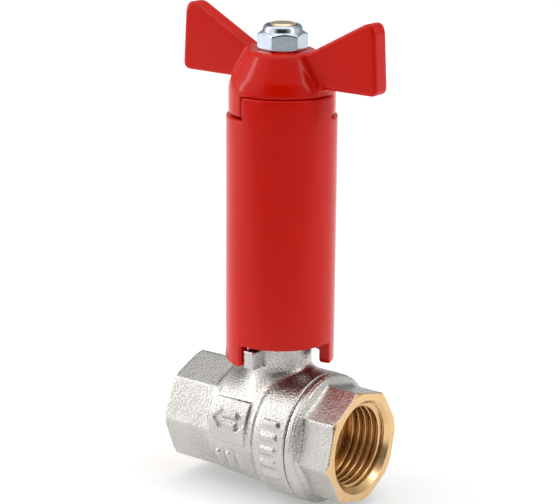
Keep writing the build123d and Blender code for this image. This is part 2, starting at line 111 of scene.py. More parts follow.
def skin(name, field, low, high, step):
    """Surface nets over a distance field given in millimetres from the pipe axis. Each grid cell
    with both signs gets a point at the mean of its edge crossings, each crossed grid edge a quad
    between its four cells, and the points are drawn on to the field's zero by Newton steps."""
    axes = [np.arange(a, b + step, step) for a, b in zip(low, high)]
    value = field(*np.meshgrid(*axes, indexing="ij"))
    inside = value < 0
    cells = tuple(n - 1 for n in value.shape)
    total = np.zeros(cells + (3,))
    count = np.zeros(cells)
    corner = np.stack(np.meshgrid(*[np.arange(n) for n in cells], indexing="ij"), -1)
    for axis in range(3):
        first = [slice(None)] * 3
        last = [slice(None)] * 3
        first[axis] = slice(None, -1)
        last[axis] = slice(1, None)
        v0, v1 = value[tuple(first)], value[tuple(last)]
        crossed = inside[tuple(first)] != inside[tuple(last)]
        part = np.where(crossed, v0 / np.where(crossed, v0 - v1, 1.0), 0.0)
        others = [a for a in range(3) if a != axis]
        for db in (0, 1):
            for dc in (0, 1):
                pick = [slice(None)] * 3
                pick[others[0]] = slice(db, cells[others[0]] + db)
                pick[others[1]] = slice(dc, cells[others[1]] + dc)
                hit = crossed[tuple(pick)]
                shift = np.zeros(cells + (3,))
                shift[..., axis] = part[tuple(pick)]
                shift[..., others[0]] = db
                shift[..., others[1]] = dc
                total += hit[..., None] * (corner + shift)
                count += hit
    used = count > 0
    number = np.full(cells, -1)
    number[used] = np.arange(int(used.sum()))
    points = np.array(low) + step * total[used] / count[used][:, None]
    quads = []
    for axis in range(3):
        b, c = (axis + 1) % 3, (axis + 2) % 3
        first = [slice(1, -1)] * 3
        last = [slice(1, -1)] * 3
        first[axis] = slice(None, -1)
        last[axis] = slice(1, None)
        start, end = inside[tuple(first)], inside[tuple(last)]
        ring = []
        for db, dc in ((0, 0), (1, 0), (1, 1), (0, 1)):
            pick = [slice(None)] * 3
            pick[b] = slice(db, cells[b] - 1 + db)
            pick[c] = slice(dc, cells[c] - 1 + dc)
            ring.append(number[tuple(pick)])
        quad = np.stack(ring, -1)
        quads.append(quad[start & ~end])
        quads.append(quad[~start & end][:, ::-1])
    nudge = 0.02
    newton_steps = 4
    flattest = 0.25
    for _ in range(newton_steps):
        here = field(*points.T)
        slope = np.stack([
            (field(*(points + offset).T) - field(*(points - offset).T)) / (2 * nudge)
            for offset in nudge * np.eye(3)
        ], -1)
        size = np.maximum((slope**2).sum(-1), flattest)
        move = -here[:, None] * slope / size[:, None]
        points = points + np.clip(move, -step / 2, step / 2)
    return solid(name, points, np.concatenate(quads))


def solid(name, points, faces):
    """A smooth-shaded object from points in millimetres from the pipe axis and an index array."""
    mesh = bpy.data.meshes.new(name)
    mesh.from_pydata((points + (0, 0, AXIS_H)) * MM, [], faces)
    mesh.shade_smooth()
    piece = bpy.data.objects.new(name, mesh)
    bpy.context.scene.collection.objects.link(piece)
    return piece


def dress(piece, material, body, node=None):
    """Give a piece its material and body, and hide the CAD node it stands for, if one is given."""
    piece.data.materials.clear()
    piece.data.materials.append(material)
    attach(piece, body)
    if node:
        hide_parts(node)


def finish_of(name, color, metallic, roughness):
    """A new material of one colour, with its node tree and its shader."""
    material = bpy.data.materials.new(name)
    material.use_nodes = True
    tree = material.node_tree
    shader = tree.nodes["Principled BSDF"]
    shader.inputs["Base Color"].default_value = (*color, 1)
    shader.inputs["Metallic"].default_value = metallic
    shader.inputs["Roughness"].default_value = roughness
    return material, tree, shader


def place(tree, scale=(1, 1, 1)):
    """Object coordinates scaled and moved to the pipe axis."""
    coordinate = tree.nodes.new("ShaderNodeTexCoord")
    mapping = tree.nodes.new("ShaderNodeMapping")
    mapping.inputs["Location"].default_value = (0, 0, -AXIS_H * MM * scale[2])
    mapping.inputs["Scale"].default_value = scale
    tree.links.new(coordinate.outputs["Object"], mapping.inputs["Vector"])
    return mapping.outputs["Vector"]


def grain(tree, vector, scale, detail=2.0, rough=0.5):
    """Noise over a piece, scale in features per metre."""
    noise = tree.nodes.new("ShaderNodeTexNoise")
    noise.inputs["Scale"].default_value = scale
    noise.inputs["Detail"].default_value = detail
    noise.inputs["Roughness"].default_value = rough
    tree.links.new(vector, noise.inputs["Vector"])
    return noise.outputs["Fac"]


def spread(tree, factor, low, high, start=0.3, end=0.7):
    """Carry a 0 to 1 factor on to a range of values."""
    ranged = tree.nodes.new("ShaderNodeMapRange")
    ranged.inputs["From Min"].default_value = start
    ranged.inputs["From Max"].default_value = end
    ranged.inputs["To Min"].default_value = low
    ranged.inputs["To Max"].default_value = high
    tree.links.new(factor, ranged.inputs["Value"])
    return ranged.outputs["Result"]


def tint(tree, factor, first, second, start=0.35, end=0.65):
    """Carry a factor from one colour to another."""
    ramp = tree.nodes.new("ShaderNodeValToRGB")
    ramp.color_ramp.elements[0].position = start
    ramp.color_ramp.elements[0].color = (*first, 1)
    ramp.color_ramp.elements[1].position = end
    ramp.color_ramp.elements[1].color = (*second, 1)
    tree.links.new(factor, ramp.inputs["Fac"])
    return ramp.outputs["Color"]


def raise_by(tree, height, depth, strength=1.0, below=None):
    """A bump of the given depth in metres, laid over an earlier bump."""
    bump = tree.nodes.new("ShaderNodeBump")
    bump.inputs["Distance"].default_value = depth
    bump.inputs["Strength"].default_value = strength
    tree.links.new(height, bump.inputs["Height"])
    if below is not None:
        tree.links.new(below, bump.inputs["Normal"])
    return bump.outputs["Normal"]


def blasted_nickel(name):
    """Nickel over a sand-blasted forging: pits under half a millimetre wide over a slow swell,
    and a warm grey that is a little darker in patches, with painted shade darkening the pits."""
    material, tree, shader = finish_of(name, (0.62, 0.60, 0.57), 1.0, 0.3)
    vector = place(tree)
    pits = grain(tree, vector, 2300, 2.0, 0.55)
    swell = grain(tree, vector, 330, 2.0)
    patches = grain(tree, vector, 120, 3.0)
    normal = raise_by(tree, swell, 0.00012, 0.5)
    normal = raise_by(tree, pits, 0.00014, 1.0, normal)
    shade = tree.nodes.new("ShaderNodeMix")
    shade.data_type = "RGBA"
    shade.blend_type = "MULTIPLY"
    shade.inputs["Factor"].default_value = 1.0
    broad = tint(tree, patches, (0.56, 0.547, 0.52), (0.63, 0.616, 0.59))
    # Painted shade: the colour is darkened where the pit noise is low, which is where the bump
    # sinks in.
    painted_pit_shade = tint(tree, pits, (0.88, 0.87, 0.86), (1.0, 1.0, 1.0), 0.36, 0.60)
    tree.links.new(broad, shade.inputs["A"])
    tree.links.new(painted_pit_shade, shade.inputs["B"])
    tree.links.new(shade.outputs["Result"], shader.inputs["Base Color"])
    tree.links.new(spread(tree, pits, 0.22, 0.32), shader.inputs["Roughness"])
    tree.links.new(normal, shader.inputs["Normal"])
    return material


def raised_marks(x, y, z, radius, spots, height):
    """Low bars on a barrel: boxes in the unrolled surface, x along the pipe and the arc's length
    round it, counted upwards from the side that faces -Y."""
    corner, sunk = 0.6, -1.0
    arc = radius * np.arctan2(z, -y)
    rise = np.hypot(y, z) - radius
    bars = [rounded_box(x, arc, rise, (x0, a0, sunk), (x1, a1, height), corner)
            for x0, x1, a0, a1 in spots]
    return np.minimum.reduce(bars)


def spanner_end(y, z, depth, turn):
    """Octagon whose corners are trimmed by a cone, beginning below the bare brass; depth is
    counted from the mouth."""
    octagon = polygon_bar(y, z, 8, OCTAGON_FLATS, OCTAGON_CORNER, turn)
    cone = (np.hypot(y, z) - CUT_R - CUT_SLOPE * (depth - BARE)) / math.hypot(1, CUT_SLOPE)
    return np.maximum(octagon, np.maximum(cone, BARE - depth))


def port_hole(r, depth):
    """Room for a port's lining, a hair more than it needs, with the wider cone at its mouth."""
    straight, cone_room = LINING + 0.01, LINING + 0.02
    wall = np.minimum(r - PORT_R - straight, (r + depth - MOUTH_R - cone_room) / math.sqrt(2))
    return np.maximum(wall, depth - PORT_DEPTH - cone_room)


def body_field(x, y, z):
    """The forging outside, less its bores. The last number of each blend is its fillet's width."""
    r = np.hypot(y, z)
    from_stem = np.hypot(x, y)
    spanner = np.maximum(spanner_end(y, z, x - BODY_LEFT, 0.0), x - OCTAGON_TO)
    cone = r - (CONE_R + CONE_GROWTH * (x - CONE_FROM))
    barrel = blend_max(cone, np.maximum(BARREL_FROM - x, x - BARREL_TO), 0.9)
    rim = blend_max(blend_max(r - RIM_R, RIM_FROM - x, 2.6), x - BODY_RIGHT, 0.3)
    shape = blend_min(blend_min(spanner, barrel, 0.5), rim, 0.7)
    flare = NECK_R + FLARE_R * np.clip((FLARE_TOP - z) / FLARE_H, 0, 1.2) ** 2
    neck = np.maximum(blend_max(from_stem - flare, z - NECK_TOP, 0.3), NECK_FROM - z)
    shape = blend_min(shape, neck, 1.6)
    shape = blend_min(shape, rounded_box(x, y, z, *LUG, 0.4), 0.7)
    # Panel round the side with a plain double-ended flow arrow sunk in it.
    rise = r - PANEL_R
    up = PANEL_R * (np.arctan2(z, -y) - math.radians(PANEL_TURN))
    panel = rounded_box(x, up, rise, (PANEL_FROM, -PANEL_HALF, -2.0),
                        (PANEL_TO, PANEL_HALF, 0.0), 0.22)
    shape = blend_min(shape, panel, 0.2)
    along, across = np.abs(x - ARROW_X), np.abs(up)
    shaft = rounded_box(along, across, rise, (-SHAFT_HALF, -SHAFT_HALF_W, -0.5),
                        (SHAFT_HALF, SHAFT_HALF_W, 0.5), 0.2)
    head = blend_max((along + across - ARROW_REACH) / math.sqrt(2), 2.0 - along, 0.4)
    arrow = blend_max(np.minimum(shaft, head), -ARROW_DEPTH - rise, 0.2)
    shape = blend_max(shape, -np.maximum(arrow, rise - 0.5), 0.2)
    # Plain forging marks: short bars under the panel and round the thread rim.
    below = [(-8.9 + 3.1 * i, -7.2 + 3.1 * i, -8.6, -4.1) for i in range(3)]
    shape = blend_min(shape, raised_marks(x, y, z, 13.9, below, 0.6), 0.5)
    beside = [(5.9, 10.4, a, a + 1.7) for a in (5.6, 2.4, -0.8, -4.0, -7.2)]
    shape = blend_min(shape, raised_marks(x, y, z, RIM_R, beside, 0.46), 0.5)
    bores = [
        port_hole(r, x - BODY_LEFT),
        np.maximum(r - FLOW_R - 0.2, x + 9.0),
        np.maximum(r - SEAT_POCKET_R, np.maximum(x + 5.5, -SEAT_POCKET - x)),
        np.maximum(r - CHAMBER_R, np.maximum(-5.8 - x, x - 6.0)),
        np.maximum(r - JOINT_BORE_R, 5.5 - x),
        np.maximum(from_stem - FOOT_BORE_R, np.maximum(z - FOOT_BORE_TOP, -z)),
        np.maximum(from_stem - STEM_BORE_R, -z),
        np.maximum(from_stem - PACKING_BORE_R, PACKING_BORE_LOW - z),
    ]
    return np.maximum(shape, -np.minimum.reduce(bores))


nickel_body = blasted_nickel("blasted_nickel_body")
body_step = 0.32                                # of the grid, in mm
body_shell = skin("body_shell", body_field, (BODY_LEFT - 0.3, -16.0, -16.0),
                  (BODY_RIGHT + 0.6, 16.0, 26.0), body_step)
dress(body_shell, nickel_body, "valve", "valve_body")


# ---- Port linings ----------------------------------------------------------------------------
# The mouths are faced and tapped after plating, so face, lead-in and G 1/2 thread are bare brass.
# Each lining is the cut skin of its forging: the octagonal face and the threaded wall behind it.
PITCH = 1.814
CREST_R = 9.32
STEEPNESS = 1.5                                 # of the flanks, which flattens crest and root
RUN_OUT = 1.2                                   # length over which the thread fades out
SEAT_DEPTH = 14.45
OCTAGON_TURN = 8.5                              # of the connector, in degrees
THREAD_COLUMNS, THREAD_ROWS = 240, 190


def octagon_radius(theta, flats, corner, turn):
    """Radius of a rounded octagon: a straight side over the angle's cosine, or near a corner the
    far crossing of the ray with the corner's circle."""
    sector = math.pi / 4
    angle = theta - math.radians(turn) - sector / 2
    folded = np.abs(angle - sector * np.round(angle / sector))
    inner = flats / 2 - corner
    reach = inner / math.cos(sector / 2)
    flat = flats / 2 / np.cos(folded)
    off = sector / 2 - folded
    bend = reach * np.cos(off) + np.sqrt(np.maximum(corner**2 - (reach * np.sin(off)) ** 2, 0))
    on_flat = flat * np.sin(folded) < inner * math.tan(sector / 2)
    return np.where(on_flat, flat, bend)


def port_lining(name, mouth_x, side, turn):
    """Closed surface of revolution with two liberties: the face's outline is an octagon, and the
    wall's radius swings with x / pitch - angle / turn, which is a right-hand helix. Side is 1 for
    the mouth that faces +X, whose trimmed corners are bare too, and -1 for the other."""
    theta = np.linspace(0, 2 * math.pi, THREAD_COLUMNS, endpoint=False)
    depth = np.linspace(0, PORT_DEPTH, THREAD_ROWS)[:, None]
    x = mouth_x - side * depth
    phase = x / PITCH - theta / (2 * math.pi)
    triangle = 2 * np.abs(2 * (phase - np.floor(phase)) - 1) - 1
    wave = np.clip(STEEPNESS * triangle, -1, 1)
    height = (1 + np.sin(wave * math.pi / 2)) / 2
    fade = np.clip((PORT_DEPTH - 0.2 - depth) / RUN_OUT, 0, 1)
    thread = PORT_R - (PORT_R - CREST_R) * height * fade
    wall = np.maximum(thread, MOUTH_R - depth)
    ones = np.ones_like(theta)
    edge = octagon_radius(theta, OCTAGON_FLATS, OCTAGON_CORNER, turn)
    if side < 0:
        edge = np.minimum(edge, CUT_R) - 0.15
    trim = np.maximum((edge - CUT_R) / CUT_SLOPE, LINING)
    under = trim + BARE + 0.02
    face = [(under, (MOUTH_R + 0.1) * ones), (under, edge - 0.015),
            (trim, edge), (0.0, np.minimum(edge - LINING, CUT_R)),
            (0.0, np.minimum(edge - 0.16, CUT_R - 0.1)), (0.0, (MOUTH_R + LINING) * ones)]
    inner, outer = FLOW_R - 0.03, FLOW_R + 0.19
    back = [(PORT_DEPTH, 7.55), (PORT_DEPTH + 0.05, inner), (SEAT_DEPTH, inner),
            (SEAT_DEPTH, outer), (PORT_DEPTH + 0.07, outer),
            (PORT_DEPTH + 0.07, PORT_R + LINING), (0.75, PORT_R + LINING)]
    radii = np.concatenate([[radius for _, radius in face], wall,
                            [radius * ones for _, radius in back]])
    depths = np.concatenate([[d * ones for d, _ in face], depth * ones,
                             [d * ones for d, _ in back]])
    points = np.stack([
        mouth_x - side * depths,
        radii * np.cos(theta),
        radii * np.sin(theta),
    ], -1)
    piece = solid(name, points.reshape(-1, 3), loop_faces(*radii.shape))
    turn_outwards(piece)
    piece.data.set_sharp_from_angle(angle=math.radians(60))
    return piece


def loop_faces(rows, columns):
    """Quads of a grid that is closed both ways."""
    i, j = np.meshgrid(np.arange(rows), np.arange(columns), indexing="ij")
    down, right = (i + 1) % rows, (j + 1) % columns
    corners = [i * columns + j, down * columns + j, down * columns + right, i * columns + right]
    return np.stack(corners, -1).reshape(-1, 4)


def turn_outwards(piece):
    """Flip a closed mesh whose signed volume is negative."""
    mesh = piece.data
    co = np.empty(len(mesh.vertices) * 3)
    mesh.vertices.foreach_get("co", co)
    co = co.reshape(-1, 3)
    mesh.calc_loop_triangles()
    index = np.empty(len(mesh.loop_triangles) * 3, int)
    mesh.loop_triangles.foreach_get("vertices", index)
    a, b, c = (co[index.reshape(-1, 3)[:, k]] for k in range(3))
    if (a * np.cross(b, c)).sum() < 0:
        mesh.flip_normals()


def cut_brass(name, color=(0.80, 0.54, 0.27)):
    """Freshly turned brass: fine rings left by the tool, a slow drift of tone, low roughness."""
    material, tree, shader = finish_of(name, color, 1.0, 0.22)
    rings = tree.nodes.new("ShaderNodeTexWave")
    rings.wave_type = "RINGS"
    rings.rings_direction = "X"
    rings.inputs["Scale"].default_value = 900
    rings.inputs["Distortion"].default_value = 1.5
    vector = place(tree)
    tree.links.new(vector, rings.inputs["Vector"])
    patches = grain(tree, vector, 260, 3.0)
    shade = tuple(0.92 * c for c in color)
    tree.links.new(tint(tree, patches, shade, color), shader.inputs["Base Color"])
    tree.links.new(spread(tree, patches, 0.20, 0.30), shader.inputs["Roughness"])
    normal = raise_by(tree, rings.outputs["Fac"], 0.000004, 0.2)
    tree.links.new(normal, shader.inputs["Normal"])
    return material


port_brass = cut_brass("turned_port_brass")
left_lining = port_lining("left_port_lining", BODY_LEFT, -1, 0.0)
dress(left_lining, port_brass, "valve")
CONNECTOR_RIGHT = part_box("end_connector")[1].x / MM
right_lining = port_lining("right_port_lining", CONNECTOR_RIGHT, 1, OCTAGON_TURN)
dress(right_lining, port_brass, "valve")


# ---- Seats, ball and joint ring --------------------------------------------------------------
# Turned PTFE seats, a brass ball ground round and chromed, and a moulded nitrile ring behind the
# connector's thread. All lie inside the shell and keep their machined shape.
def waxy_ptfe(name):
    """White PTFE: soft and slightly translucent, with faint lathe lines round the pipe."""
    material, tree, shader = finish_of(name, (0.86, 0.86, 0.83), 0.0, 0.42)
    shader.inputs["Subsurface Weight"].default_value = 0.15
    shader.inputs["Subsurface Radius"].default_value = (0.001, 0.001, 0.001)
    vector = place(tree)
    mottle = grain(tree, vector, 420, 3.0)
    color = tint(tree, mottle, (0.80, 0.80, 0.76), (0.90, 0.90, 0.88))
    tree.links.new(color, shader.inputs["Base Color"])
    lines = grain(tree, place(tree, (9, 1, 1)), 900, 1.0)
    tree.links.new(raise_by(tree, lines, 0.00002, 0.5), shader.inputs["Normal"])
    return material


def moulded_rubber(name):
    """Black nitrile: matte, with a fine bloom."""
    material, tree, shader = finish_of(name, (0.022, 0.022, 0.023), 0.0, 0.55)
    vector = place(tree)
    bloom = grain(tree, vector, 900, 3.0)
    color = tint(tree, bloom, (0.016, 0.016, 0.017), (0.035, 0.035, 0.036))
    tree.links.new(color, shader.inputs["Base Color"])
    tree.links.new(spread(tree, bloom, 0.48, 0.64), shader.inputs["Roughness"])
    tree.links.new(raise_by(tree, bloom, 0.00002, 0.4), shader.inputs["Normal"])
    return material


def polished_chrome(name):
    """Hard chrome over a ground ball: near mirror, with wipe marks along the pipe."""
    material, tree, shader = finish_of(name, (0.74, 0.745, 0.76), 1.0, 0.08)
    marks = grain(tree, place(tree, (0.2, 1, 1)), 1400, 2.0)
    tree.links.new(spread(tree, marks, 0.05, 0.14), shader.inputs["Roughness"])
    tree.links.new(raise_by(tree, marks, 0.000003, 0.3), shader.inputs["Normal"])
    return material


def recoat(names, material):
    """Put one finish on pieces that keep their shape."""
    for name in names:
        for slot in cad[name].material_slots:
            slot.material = material


ptfe = waxy_ptfe("waxy_ptfe")
nitrile = moulded_rubber("moulded_nitrile")
recoat(["seat_ring_left", "seat_ring_right"], ptfe)
recoat(["ball"], polished_chrome("polished_chrome"))
recoat(["joint_o_ring"], nitrile)


# ---- End connector ---------------------------------------------------------------------------
# The second forging: flange ring with a turned groove, and a spanner octagon that stopped a few
# degrees past the body's when it was screwed home.
FLANGE_LEFT = BODY_RIGHT + 0.15
FLANGE_R, FLANGE_EDGE = 15.3, 15.5              # radius, and x where the coned face begins
GROOVE_X, GROOVE_R, GROOVE_HALF = 14.45, 15.42, 0.3
NOSE_R, NOSE_LEFT = 12.98, 5.8
RELIEF_X, RELIEF_HALF, RELIEF_R = 11.85, 0.85, 11.9


def connector_field(x, y, z):
    """Flange and octagon with a coned face between them, thread nose, less the bores."""
    r = np.hypot(y, z)
    spanner = np.maximum(spanner_end(y, z, CONNECTOR_RIGHT - x, OCTAGON_TURN), 13.0 - x)
    slant = (r - 13.5) * 0.36 + (x - FLANGE_EDGE) * 0.93
    ring = blend_max(r - FLANGE_R, blend_max(slant, FLANGE_LEFT - x, 0.25), 0.3)
    groove = np.hypot(x - GROOVE_X, r - GROOVE_R) - GROOVE_HALF
    ring = blend_max(ring, -groove, 0.1)
    nose = np.maximum(r - NOSE_R, np.maximum(NOSE_LEFT - x, x - 13.5))
    core = np.maximum(r - 13.4, np.maximum(FLANGE_LEFT - x, x - 15.0))
    shape = np.minimum(blend_min(spanner, np.minimum(ring, core), 0.55), nose)
    bores = [
        port_hole(r, CONNECTOR_RIGHT - x),
        np.maximum(r - FLOW_R - 0.2, 9.0 - x),
        np.maximum(r - SEAT_POCKET_R, x - SEAT_POCKET),
        np.maximum(np.abs(x - RELIEF_X) - RELIEF_HALF, RELIEF_R - r),
    ]
    return np.maximum(shape, -np.minimum.reduce(bores))


nickel_connector = blasted_nickel("blasted_nickel_connector")
connector_step = 0.3
connector_shell = skin("connector_shell", connector_field, (5.2, -16.0, -16.0),
                       (CONNECTOR_RIGHT + 0.3, 16.0, 16.0), connector_step)
dress(connector_shell, nickel_connector, "valve", "end_connector")


# ---- Stem and packing ------------------------------------------------------------------------
# Turned brass stem put in from inside, its thrust washer and O-rings, then two PTFE rings that a
# brass follower and the gland nut press down in the neck.
stem_brass = cut_brass("turned_stem_brass", (0.80, 0.58, 0.28))
recoat(["stem", "packing_follower", "gland_nut"], stem_brass)
recoat(["thrust_washer", "packing_ring_lower", "packing_ring_upper"], ptfe)
recoat(["stem_o_ring_lower", "stem_o_ring_upper"], nitrile)


# ---- Extension tube --------------------------------------------------------------------------
# Red powder-coated aluminium sleeve. Its lower end has two legs that straddle the stop lug, its
# upper end two notches that take the handle's keys, and a floor inside sits on the stem's flats.
TUBE_R = 12.7
TUBE_BORE = 10.2
EDGE_R = 0.42                                   # roundness that the coating leaves on edges
TUBE_LOW, TUBE_HIGH = 22.4, 80.5
LEG_LOW, NOTCH_FLOOR = 17.1, 75.2
LEG_FROM, LEG_SPAN = 9.0, 72.0                  # in degrees, repeated on the far side
FLOOR_Z, FLOOR_HALF = 30.5, 1.5
STEM_FLATS_HALF = 3.05


def crenel(depth_z, level_z, foot, shoulder):
    """Half outline of one end: level, corner, wall down to depth_z and half its floor. Points run
    from the middle of the tab to the middle of the leg as (angle offset from the wall in mm of
    arc, z), with both corners drawn as quarter circles of radius shoulder and foot."""
    quarter = np.linspace(0, math.pi / 2, 7)
    sign = np.sign(depth_z - level_z)
    top = np.stack([-shoulder + shoulder * np.sin(quarter),
                    level_z + sign * shoulder * (1 - np.cos(quarter))], -1)
    low = np.stack([foot - foot * np.cos(quarter),
                    depth_z - sign * foot * (1 - np.sin(quarter))], -1)
    return np.concatenate([top, low])


def outline(depth_z, level_z, foot, shoulder):
    """One end's closed outline round the tube: the half outline, mirrored about each leg's middle
    and repeated on the far side. Returns angles in radians and heights."""
    half = crenel(depth_z, level_z, foot, shoulder)
    wall = math.radians(LEG_FROM)
    span = math.radians(LEG_SPAN)
    rise = wall + half[:, 0] / TUBE_R
    floor = np.linspace(rise[-1], wall + span / 2, 12)[1:]
    leg = np.concatenate([rise, floor])
    z = np.concatenate([half[:, 1], np.full(len(floor), depth_z)])
    back = 2 * wall + span - leg[::-1][1:]
    leg = np.concatenate([leg, back])
    z = np.concatenate([z, z[::-1][1:]])
    tab = np.linspace(leg[-1], leg[0] + math.pi, 26)[1:-1]
    angle = np.concatenate([leg, tab])
    z = np.concatenate([z, np.full(len(tab), level_z)])
    return np.concatenate([angle, angle + math.pi]), np.concatenate([z, z])


def inward(angle, z, side):
    """Unit normals of an outline in the unrolled wall, pointing into the metal."""
    arc = TUBE_R * angle
    run = np.roll(arc, -1) - np.roll(arc, 1)
    run = np.where(run < -TUBE_R, run + 2 * math.pi * TUBE_R, run)
    rise = np.roll(z, -1) - np.roll(z, 1)
    size = np.hypot(run, rise)
    return -side * rise / size, side * run / size


def edge_rows(end, radius, sense):
    """Rows from one face of the wall round to the middle of an edge, a quarter circle."""
    angle, z, (along, upward) = end
    rows = []
    for step in np.linspace(0, math.pi / 2, 5):
        inset = EDGE_R * (1 - math.sin(step))
        row_r = radius + sense * EDGE_R * (1 - math.cos(step))
        row_angle = angle + along * inset / TUBE_R
        rows.append(np.stack([row_r * np.cos(row_angle), row_r * np.sin(row_angle),
                              z + upward * inset], -1))
    return rows


def sleeve(name):
    """The wall as a grid: columns run between two matching outlines, rows go up the outside, over
    the top edge, down the inside and under the lower edge, each edge a half circle."""
    low_a, low_z = outline(LEG_LOW, TUBE_LOW, 1.3, 0.5)
    high_a, high_z = outline(NOTCH_FLOOR, TUBE_HIGH, 0.45, 0.75)
    low = low_a, low_z, inward(low_a, low_z, 1)
    high = high_a, high_z, inward(high_a, high_z, -1)
    rows = []
    for radius, sense, ends in ((TUBE_R, -1, (low, high)), (TUBE_BORE, 1, (high, low))):
        start, stop = (edge_rows(end, radius, sense) for end in ends)
        rows += start[::-1]
        for part in np.linspace(0, 1, 9)[1:-1]:
            between = start[0] * (1 - part) + stop[0] * part
            between[:, :2] *= radius / np.hypot(between[:, 0], between[:, 1])[:, None]
            rows.append(between)
        rows += stop
    points = np.stack(rows)
    piece = solid(name, points.reshape(-1, 3), loop_faces(*points.shape[:2]))
    turn_outwards(piece)
    return piece


def red_coat(name, tone=(0.67, 0.007, 0.0005)):
    """Baked red powder coat: glossy, with a faint orange peel and a slow drift in tone."""
    material, tree, shader = finish_of(name, tone, 0.0, 0.16)
    shader.inputs["Specular IOR Level"].default_value = 0.20
    vector = place(tree)
    peel = grain(tree, vector, 520, 1.0)
    drift = grain(tree, vector, 60, 2.0)
    deeper = tuple(0.93 * c for c in tone)
    tree.links.new(tint(tree, drift, deeper, tone, 0.0, 1.0), shader.inputs["Base Color"])
    tree.links.new(spread(tree, drift, 0.13, 0.19, 0.0, 1.0), shader.inputs["Roughness"])
    tree.links.new(raise_by(tree, peel, 0.00001, 0.2), shader.inputs["Normal"])
    return material


def tube_floor_field(x, y, z):
    """A disc across the sleeve with the stem's hole in it, round with two flats."""
    from_stem = np.hypot(x, y)
    disc = np.maximum(from_stem - TUBE_BORE - 0.2, np.abs(z - FLOOR_Z) - FLOOR_HALF)
    hole = np.maximum(from_stem - STEM_BORE_R, np.abs(y) - STEM_FLATS_HALF)
    return np.maximum(disc, -hole)


tube_red = red_coat("red_coat_tube")
tube_wall = sleeve("tube_sleeve")
dress(tube_wall, tube_red, "handle", "extension_tube")
tube_floor = skin("tube_floor", tube_floor_field, (-10.8, -10.8, 28.6), (10.8, 10.8, 32.4), 0.4)
dress(tube_floor, tube_red, "handle")


# ---- Washers and extension rod ---------------------------------------------------------------
# A zinc-plated washer and a blackened spring washer under a hexagonal brass rod, which is tapped
# M6 below and threaded M6 above; only its faced end shows, in the lock nut.
def plated_steel(name, color, roughness, scale):
    """Plated or oiled steel: fine tumbling marks in roughness and bump."""
    material, tree, shader = finish_of(name, color, 1.0, roughness)
    vector = place(tree)
    tumble = grain(tree, vector, scale, 3.0)
    darker = tuple(0.85 * c for c in color)
    tree.links.new(tint(tree, tumble, darker, color), shader.inputs["Base Color"])
    ranged = spread(tree, tumble, 0.7 * roughness, 1.5 * roughness)
    tree.links.new(ranged, shader.inputs["Roughness"])
    tree.links.new(raise_by(tree, tumble, 0.000012, 0.4), shader.inputs["Normal"])
    return material


recoat(["flat_washer"], plated_steel("zinc_washer", (0.62, 0.64, 0.67), 0.28, 900))
recoat(["spring_washer"], plated_steel("spring_washer_steel", (0.22, 0.22, 0.23), 0.38, 900))
recoat(["extension_rod"], cut_brass("faced_rod_brass", (0.88, 0.66, 0.46)))


# ---- Handle ----------------------------------------------------------------------------------
# Die-cast butterfly handle in the same red coat: coned crown, two upswept wings run into it with
# fillets, a short skirt on the tube's tabs and two keys that drop into the notches.
CROWN_R, CROWN_LOW, CROWN_TOP = 12.2, 80.56, 90.0
CONE_LOW = 82.75                                # where the crown's cone leaves its skirt
WING_TIP, WING_LOW, WING_HALF = 27.2, 82.6, 2.4
WING_LEAN, WING_H = 0.9, 16.0                   # the tip leans in by this much over this height
WING_ROOT, WING_SLOPE = 8.0, 0.533
HOLLOW_R, HOLLOW_TOP = 10.2, 84.0
KEY_LOW, KEY_HALF = 75.7, 32.6                  # key's lower end, and half its angle in degrees


def handle_field(x, y, z):
    """Crown and wings joined by fillets, hollowed below, with the keys standing down."""
    from_stem = np.hypot(x, y)
    cone = (from_stem - CROWN_R) * 0.845 + (z - CONE_LOW) * 0.535
    crown = blend_max(blend_max(from_stem - CROWN_R, cone, 1.0), z - CROWN_TOP, 0.9)
    crown = blend_max(crown, CROWN_LOW - z, 0.5)
    reach = np.abs(x)
    outer = reach - (WING_TIP - WING_LEAN * (z - WING_LOW) / WING_H)
    upper = (z - CROWN_TOP - WING_SLOPE * (reach - WING_ROOT)) / math.hypot(1, WING_SLOPE)
    side_view = blend_max(blend_max(outer, upper, 3.6), WING_LOW - z, 1.8)
    wings = blend_max(side_view, np.abs(y) - WING_HALF, 0.9)
    shape = blend_min(crown, wings, 1.5)
    hollow = np.maximum(blend_max(from_stem - HOLLOW_R, z - HOLLOW_TOP, 1.0), 60.0 - z)
    shape = blend_max(shape, -hollow, 0.4)
    shape = np.maximum(shape, TUBE_HIGH - z)
    angle = np.arctan2(y, x) % math.pi
    beside = from_stem * (np.abs(angle - math.radians(45)) - math.radians(KEY_HALF))
    ring = np.maximum(from_stem - CROWN_R, HOLLOW_R - from_stem)
    key = blend_max(blend_max(ring, beside, 0.6), np.maximum(KEY_LOW - z, z - 82.0), 0.6)
    shape = np.minimum(shape, key)
    return np.maximum(shape, 3.2 - from_stem)


handle_casting = skin("handle_casting", handle_field, (-27.8, -12.8, 75.2),
                      (27.8, 12.8, 99.8), 0.3)
dress(handle_casting, red_coat("red_coat_handle"), "handle", "handle")


# ---- Lock nut and insert ---------------------------------------------------------------------
# Zinc-plated M6 nut with a domed collar rolled over a nylon ring. It clamps the handle on the
# tube; the rod's faced end stands just proud of it.
NUT_BASE = CROWN_TOP
NUT_FLATS, NUT_TURN = 10.0, 42.0
COLLAR_R, COLLAR_TOP = 4.55, 5.8                # heights are above the nut's base
NUT_HOLE_R = 3.02
RECESS_R, RECESS_LOW = 3.65, 5.0


